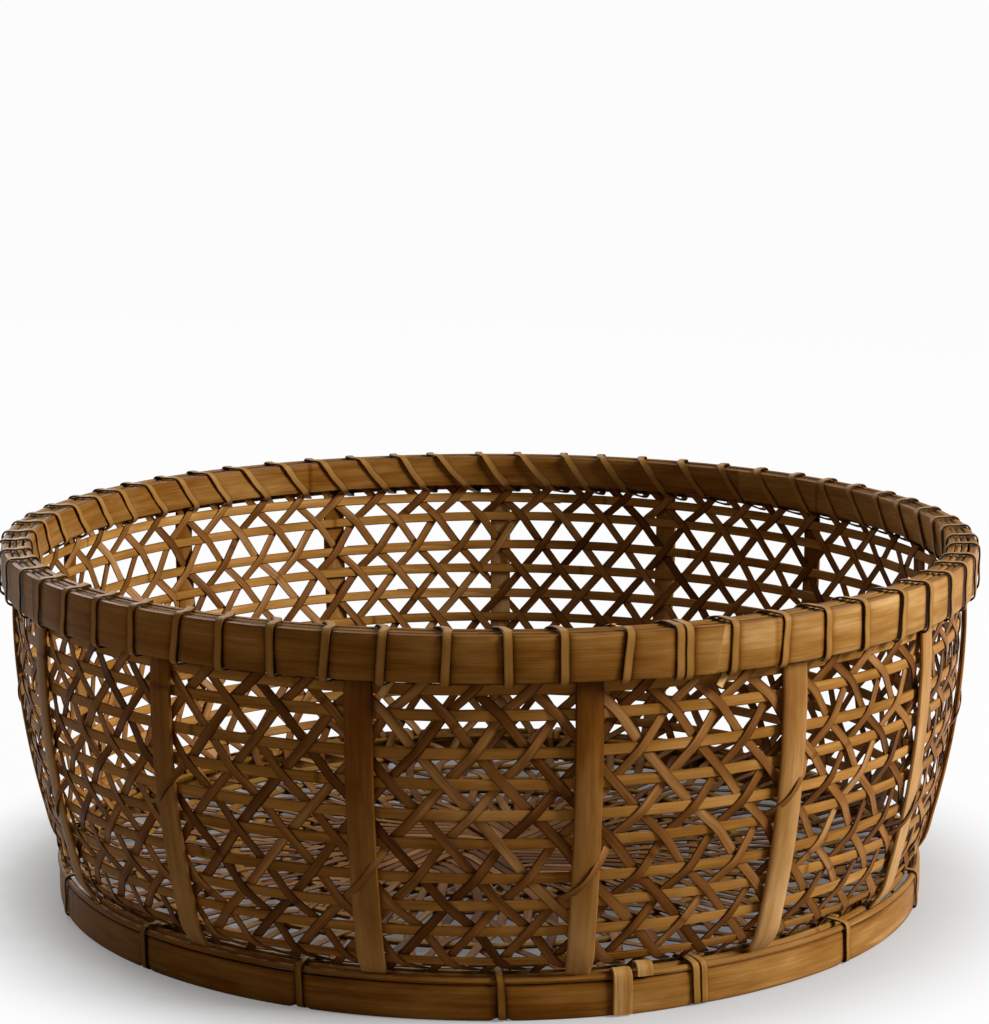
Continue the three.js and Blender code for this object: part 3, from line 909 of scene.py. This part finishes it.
WHITE = (1, 1, 1, 1)
FLOOR_REACH = 2000  # metres, out to the horizon
FLOOR_GREY = (0.42, 0.42, 0.42, 1)  # under its glow, as the camera sees it
FLOOR_BOUNCE = (0.36, 0.285, 0.19, 1)  # as it lights the bowl
PAINTED_SHADOW_EDGE = (0.16, 0.25)  # metres from the middle, between which the floor's glow rises, so that a painted shadow rings the bowl
FLOOR_GLOW = (0.1, 0.97)  # share of glow within and beyond
AMBIENT = 0.05  # strength of the white surroundings as they light the bowl
LAMP_AIM = Vector((0, 0, 70 * MM))
LENS, SENSOR_WIDTH = 99.63, 36  # millimetres
CAMERA_SPOT = Vector((2.24, -1155.3, 363.7))  # millimetres, before it is turned round the bowl
CAMERA_TILT, CAMERA_TURN = 79.74 * DEG, -0.9 * DEG  # up from straight down, and round from dead ahead


def seen_rays(finish):
    """1 for what the camera sees, straight or in a reflection, and 0 for light on the bowl."""
    rays = finish.node("LightPath")
    straight, gloss, clear = (Value(finish, rays.outputs[f"Is {kind} Ray"])
                              for kind in ("Camera", "Glossy", "Transmission"))
    return (straight + gloss + clear).at_most(1.0)


def floor_finish():
    """Pale floor that keeps the shadow under the bowl, glows less near it as a painted shadow round the
    foot, and reads white further off.
    """
    material = bpy.data.materials.new("pale_floor")
    finish = Finish(material)
    matt = finish.node("BsdfDiffuse", {}, {"Color": FLOOR_GREY})
    glow = finish.node("Emission", {}, {"Color": WHITE, "Strength": 1.0})
    bounce = finish.node("BsdfDiffuse", {}, {"Color": FLOOR_BOUNCE})
    ground = finish.node("TexCoord").outputs["Object"]
    away = finish.value("VectorMath", "Value", {"operation": "LENGTH"}, {0: ground})
    # Weaker glow near the bowl: a painted shadow round its foot, over the real shadow
    white = finish.value("MapRange", 0, {"interpolation_type": "SMOOTHSTEP"}, {
        "Value": away, "From Min": PAINTED_SHADOW_EDGE[0], "From Max": PAINTED_SHADOW_EDGE[1],
        "To Min": FLOOR_GLOW[0], "To Max": FLOOR_GLOW[1]})
    shown = finish.node("MixShader", {}, {0: white, 1: matt.outputs[0], 2: glow.outputs[0]})
    both = finish.node("MixShader", {}, {
        0: seen_rays(finish), 1: bounce.outputs[0], 2: shown.outputs[0]})
    finish.node("OutputMaterial", {}, {"Surface": both.outputs[0]})
    return material


def build_floor():
    grid = bmesh.new()
    bmesh.ops.create_grid(grid, x_segments=1, y_segments=1, size=FLOOR_REACH)
    mesh = bpy.data.meshes.new("floor")
    grid.to_mesh(mesh)
    grid.free()
    mesh.materials.append(floor_finish())
    floor = bpy.data.objects.new("floor", mesh)
    bpy.context.scene.collection.objects.link(floor)


def build_world():
    """White surroundings that light the bowl only faintly."""
    world = bpy.data.worlds.new("studio")
    bpy.context.scene.world = world
    finish = Finish(world)
    strength = AMBIENT + seen_rays(finish) * (1 - AMBIENT)
    sky = finish.node("Background", {}, {"Color": WHITE, "Strength": strength})
    finish.node("OutputWorld", {}, {"Surface": sky.outputs[0]})


def add_lamp(name, place, size, watts, colour=(1, 1, 1)):
    light = bpy.data.lights.new(name, "AREA")
    light.size, light.energy, light.color = size, watts, colour
    lamp = bpy.data.objects.new(name, light)
    lamp.location = place
    lamp.rotation_euler = (LAMP_AIM - lamp.location).to_track_quat("-Z", "Y").to_euler()
    bpy.context.scene.collection.objects.link(lamp)


def place_camera():
    """The photograph's viewpoint: a little above the rim, looking ten degrees down."""
    view = bpy.data.cameras.new("camera")
    view.lens, view.sensor_width = LENS, SENSOR_WIDTH
    camera = bpy.data.objects.new("camera", view)
    camera.location = Matrix.Rotation(CAMERA_TURN, 3, "Z") @ CAMERA_SPOT * MM
    camera.rotation_euler = (CAMERA_TILT, 0, CAMERA_TURN)
    bpy.context.scene.collection.objects.link(camera)
    bpy.context.scene.camera = camera


build_floor()
build_world()
add_lamp("key", place=(1.7, -0.45, 1.0), size=0.7, watts=68)
add_lamp("fill", place=(-1.2, -1.3, 1.0), size=1.2, watts=4.4, colour=(1, 0.88, 0.7))
add_lamp("back", place=(-0.8, 1.6, 1.1), size=1.0, watts=24)
place_camera()
bpy.context.scene.view_settings.view_transform = "Standard"
